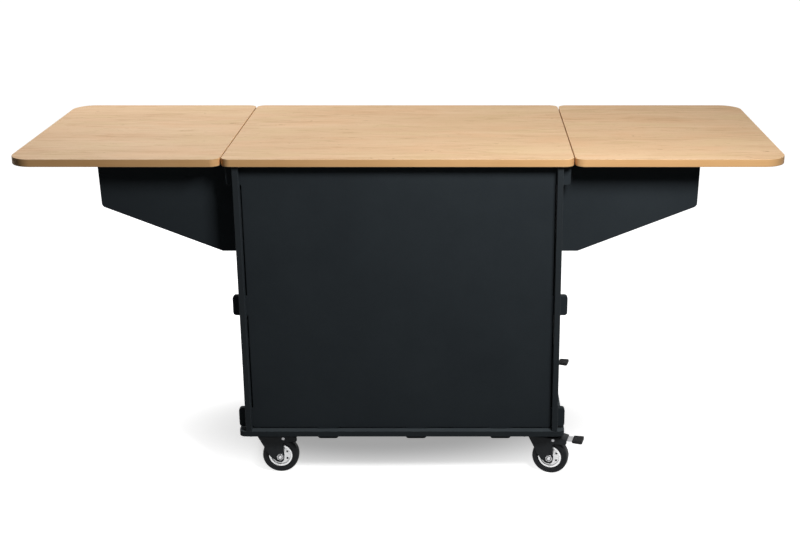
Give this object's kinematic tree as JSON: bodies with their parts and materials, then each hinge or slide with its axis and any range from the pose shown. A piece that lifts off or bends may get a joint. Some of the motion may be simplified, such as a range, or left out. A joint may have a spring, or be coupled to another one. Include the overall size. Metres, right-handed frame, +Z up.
{
  "type": "coffee cart",
  "caption": "Mobile coffee cart of slotted dark boards on swivel castors, with a pale wood worktop and hinged side wings that rest on swing-out brackets; open storage at the back.",
  "frame": {"origin": "on the floor, under the middle of the cart", "axes": "+X along the worktop towards the end with the braked castors, -Y towards the front panel, +Z up"},
  "size_m": [1.986, 0.678, 0.903],
  "materials": {
    "dark_board": "charcoal laminate on board, fine matt grain",
    "pale_wood": "light oak, satin, grain along the worktop",
    "felt_block": "felted black block",
    "hinge_steel": "zinc-plated",
    "black_steel": "black powder coat",
    "bright_steel": "bright zinc",
    "tyre": "matt black rubber",
    "grey_rim": "light grey moulding",
    "pad_rubber": "ribbed black rubber"
  },
  "bodies": {
    "cart": {"base_plate": "dark_board", "left_side_panel": "dark_board", "right_side_panel": "dark_board", "front_panel": "dark_board", "shelf": "dark_board", "rear_rail": "dark_board", "left_top_cleat": "dark_board", "right_top_cleat": "dark_board", "centre_top": "pale_wood", "left_wing_hinge_leaf_fixed": "hinge_steel", "right_wing_hinge_leaf_fixed": "hinge_steel", "left_wing_hinge_pin": "hinge_steel", "right_wing_hinge_pin": "hinge_steel", "left_bracket_hinge_leaf_fixed": "hinge_steel", "right_bracket_hinge_leaf_fixed": "hinge_steel", "left_bracket_hinge_pin": "hinge_steel", "right_bracket_hinge_pin": "hinge_steel", "front_left_castor_plate": "black_steel", "front_right_castor_plate": "black_steel", "rear_left_castor_plate": "black_steel", "rear_right_castor_plate": "black_steel"},
    "left_wing_body": {"left_wing": "pale_wood", "left_wing_rest": "felt_block", "left_wing_hinge_leaf_moving": "hinge_steel"},
    "right_wing_body": {"right_wing": "pale_wood", "right_wing_rest": "felt_block", "right_wing_hinge_leaf_moving": "hinge_steel"},
    "left_bracket_body": {"left_bracket": "dark_board", "left_bracket_hinge_leaf_moving": "hinge_steel"},
    "right_bracket_body": {"right_bracket": "dark_board", "right_bracket_hinge_leaf_moving": "hinge_steel"},
    "front_left_castor": {"front_left_fork": "black_steel", "front_left_axle_bolt": "bright_steel", "front_left_fork_rivet": "bright_steel"},
    "front_right_castor": {"front_right_fork": "black_steel", "front_right_axle_bolt": "bright_steel", "front_right_fork_rivet": "bright_steel"},
    "rear_left_castor": {"rear_left_fork": "black_steel", "rear_left_axle_bolt": "bright_steel", "rear_left_fork_rivet": "bright_steel"},
    "rear_right_castor": {"rear_right_fork": "black_steel", "rear_right_axle_bolt": "bright_steel", "rear_right_fork_rivet": "bright_steel"},
    "front_left_wheel": {"front_left_tyre": "tyre", "front_left_rim": "grey_rim"},
    "front_right_wheel": {"front_right_tyre": "tyre", "front_right_rim": "grey_rim"},
    "rear_left_wheel": {"rear_left_tyre": "tyre", "rear_left_rim": "grey_rim"},
    "rear_right_wheel": {"rear_right_tyre": "tyre", "rear_right_rim": "grey_rim"},
    "front_right_pedal": {"front_right_pedal_arm": "bright_steel", "front_right_pedal_pad": "pad_rubber"},
    "rear_right_pedal": {"rear_right_pedal_arm": "bright_steel", "rear_right_pedal_pad": "pad_rubber"}
  },
  "joints": [
    {"name": "left_wing_lift", "type": "hinge", "parent": "cart", "child": "left_wing_body", "pos_m": [-0.4515, 0, 0.8785], "axis": [0, 1, 0], "range_deg": [0, 6]},
    {"name": "right_wing_lift", "type": "hinge", "parent": "cart", "child": "right_wing_body", "pos_m": [0.4515, 0, 0.8785], "axis": [0, -1, 0], "range_deg": [0, 6]},
    {"name": "left_bracket_swing", "type": "hinge", "parent": "cart", "child": "left_bracket_body", "pos_m": [-0.428, -0.2395, 0.7541], "axis": [0, 0, -1], "range_deg": [0, 90]},
    {"name": "right_bracket_swing", "type": "hinge", "parent": "cart", "child": "right_bracket_body", "pos_m": [0.428, -0.2395, 0.7541], "axis": [0, 0, 1], "range_deg": [0, 90]},
    {"name": "front_left_swivel", "type": "hinge", "parent": "cart", "child": "front_left_castor", "pos_m": [-0.374, -0.277, 0.115], "axis": [0, 0, 1], "continuous": true},
    {"name": "front_right_swivel", "type": "hinge", "parent": "cart", "child": "front_right_castor", "pos_m": [0.374, -0.277, 0.115], "axis": [0, 0, 1], "continuous": true},
    {"name": "rear_left_swivel", "type": "hinge", "parent": "cart", "child": "rear_left_castor", "pos_m": [-0.374, 0.277, 0.115], "axis": [0, 0, 1], "continuous": true},
    {"name": "rear_right_swivel", "type": "hinge", "parent": "cart", "child": "rear_right_castor", "pos_m": [0.374, 0.277, 0.115], "axis": [0, 0, 1], "continuous": true},
    {"name": "front_left_wheel_spin", "type": "hinge", "parent": "front_left_castor", "child": "front_left_wheel", "pos_m": [-0.338, -0.277, 0.05], "axis": [0, 1, 0], "continuous": true},
    {"name": "front_right_wheel_spin", "type": "hinge", "parent": "front_right_castor", "child": "front_right_wheel", "pos_m": [0.40877, -0.28632, 0.05], "axis": [0.2588, 0.9659, 0], "continuous": true},
    {"name": "rear_left_wheel_spin", "type": "hinge", "parent": "rear_left_castor", "child": "rear_left_wheel", "pos_m": [-0.338, 0.277, 0.05], "axis": [0, 1, 0], "continuous": true},
    {"name": "rear_right_wheel_spin", "type": "hinge", "parent": "rear_right_castor", "child": "rear_right_wheel", "pos_m": [0.40877, 0.26768, 0.05], "axis": [0.2588, 0.9659, 0], "continuous": true},
    {"name": "front_right_brake", "type": "hinge", "parent": "front_right_castor", "child": "front_right_pedal", "pos_m": [0.41843, -0.28891, 0.1045], "axis": [0.2588, 0.9659, 0], "range_deg": [0, 12]},
    {"name": "rear_right_brake", "type": "hinge", "parent": "rear_right_castor", "child": "rear_right_pedal", "pos_m": [0.41843, 0.26509, 0.1045], "axis": [0.2588, 0.9659, 0], "range_deg": [0, 12]}
  ]
}
